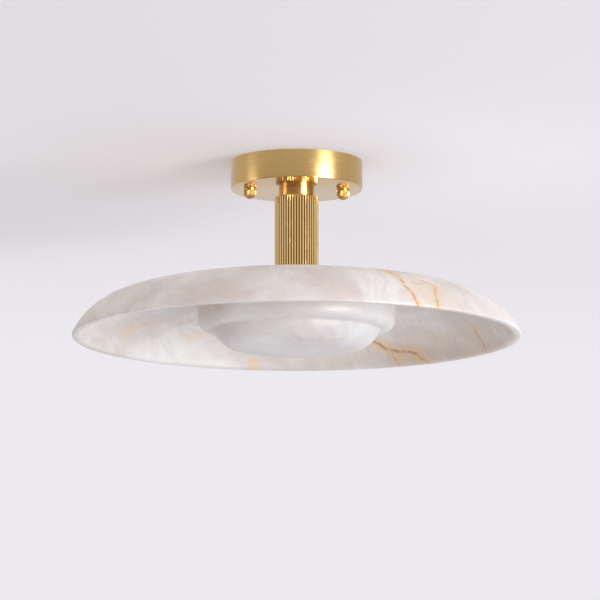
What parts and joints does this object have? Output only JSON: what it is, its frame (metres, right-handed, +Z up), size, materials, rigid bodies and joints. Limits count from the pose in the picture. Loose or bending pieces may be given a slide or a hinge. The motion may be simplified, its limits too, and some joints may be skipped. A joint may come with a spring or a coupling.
{
  "type": "ceiling light",
  "caption": "Flush mount ceiling light: brass rose and fluted stem carry a shallow alabaster dish with a two-tier alabaster bowl inside, over capsule lamps.",
  "frame": {"origin": "middle of the ceiling face, between the two bracket screw slots", "axes": "+Z up into the ceiling, +X through the two knob studs, +Y towards the terminal block"},
  "size_m": [0.4058, 0.4058, 0.1763],
  "materials": {
    "satin_brass": "satin, finely brushed around the axis",
    "alabaster": "polished translucent stone with grey clouds and amber veins",
    "zinc_steel": "zinc plated",
    "plain_brass": "turned",
    "tinned_copper": "tinned",
    "white_paint": "matt powder coat",
    "silicone": "translucent matt",
    "felt": "pressed felt",
    "nylon": "moulded, satin",
    "white_ceramic": "unglazed steatite",
    "lamp_pin": "bright wire",
    "clear_glass": "clear",
    "phosphor": "yellow phosphor coat",
    "brown_core": "smooth insulation",
    "blue_core": "smooth insulation",
    "green_yellow_core": "green insulation with a yellow stripe",
    "white_flex": "smooth sheath"
  },
  "bodies": {
    "fixture": {"block_screw": "zinc_steel", "bowl_pad": "felt", "bracket_nuts": "zinc_steel", "bracket_screws": "zinc_steel", "ceiling_bracket": "zinc_steel", "centre_tube": "zinc_steel", "clamp_plate": "zinc_steel", "earth_core": "green_yellow_core", "earth_screw": "plain_brass", "earth_tag": "tinned_copper", "gallery": "white_paint", "holder_bracket_1": "zinc_steel", "holder_bracket_2": "zinc_steel", "holder_bracket_3": "zinc_steel", "holder_screws": "zinc_steel", "knob_studs": "zinc_steel", "lamp_leads": "white_flex", "lampholder_1": "white_ceramic", "lampholder_2": "white_ceramic", "lampholder_3": "white_ceramic", "live_core": "brown_core", "lower_gasket": "silicone", "neck": "satin_brass", "neutral_core": "blue_core", "riser_flex": "white_flex", "rose": "satin_brass", "screw_bosses": "plain_brass", "shade": "alabaster", "stem_bottom_plug": "zinc_steel", "stem_sleeve": "satin_brass", "stem_top_plug": "zinc_steel", "stud_nuts": "zinc_steel", "terminal_block": "nylon", "terminal_screws": "zinc_steel", "tube_nuts": "zinc_steel", "tube_washers": "zinc_steel", "upper_gasket": "silicone"},
    "left_knob": {"knob_nut_left": "satin_brass"},
    "right_knob": {"knob_nut_right": "satin_brass"},
    "bowl": {"bowl": "alabaster"},
    "clamp_screw_1": {"thumbscrew_1": "satin_brass", "thumbscrew_tip_1": "nylon"},
    "lamp_1": {"lamp_base_1": "white_ceramic", "lamp_pins_1": "lamp_pin", "lamp_glass_1": "clear_glass", "lamp_strip_1": "phosphor"},
    "clamp_screw_2": {"thumbscrew_2": "satin_brass", "thumbscrew_tip_2": "nylon"},
    "lamp_2": {"lamp_base_2": "white_ceramic", "lamp_pins_2": "lamp_pin", "lamp_glass_2": "clear_glass", "lamp_strip_2": "phosphor"},
    "clamp_screw_3": {"thumbscrew_3": "satin_brass", "thumbscrew_tip_3": "nylon"},
    "lamp_3": {"lamp_base_3": "white_ceramic", "lamp_pins_3": "lamp_pin", "lamp_glass_3": "clear_glass", "lamp_strip_3": "phosphor"}
  },
  "joints": [
    {"name": "left_knob_turn", "type": "hinge", "parent": "fixture", "child": "left_knob", "pos_m": [-0.0425, 0, -0.0255], "axis": [0, 0, 1], "continuous": true},
    {"name": "right_knob_turn", "type": "hinge", "parent": "fixture", "child": "right_knob", "pos_m": [0.0425, 0, -0.0255], "axis": [0, 0, 1], "continuous": true},
    {"name": "bowl_drop", "type": "slide", "parent": "fixture", "child": "bowl", "axis": [0, 0, -1], "range_m": [0, 0.12]},
    {"name": "clamp_screw_1_back_off", "type": "slide", "parent": "fixture", "child": "clamp_screw_1", "axis": [0, 1, 0], "range_m": [0, 0.004]},
    {"name": "clamp_screw_2_back_off", "type": "slide", "parent": "fixture", "child": "clamp_screw_2", "axis": [-0.866, -0.5, 0], "range_m": [0, 0.004]},
    {"name": "clamp_screw_3_back_off", "type": "slide", "parent": "fixture", "child": "clamp_screw_3", "axis": [0.866, -0.5, 0], "range_m": [0, 0.004]},
    {"name": "lamp_1_pull", "type": "slide", "parent": "fixture", "child": "lamp_1", "axis": [-0.5, 0.866, 0], "range_m": [0, 0.012]},
    {"name": "lamp_2_pull", "type": "slide", "parent": "fixture", "child": "lamp_2", "axis": [-0.5, -0.866, 0], "range_m": [0, 0.012]},
    {"name": "lamp_3_pull", "type": "slide", "parent": "fixture", "child": "lamp_3", "axis": [1, 0, 0], "range_m": [0, 0.012]}
  ]
}
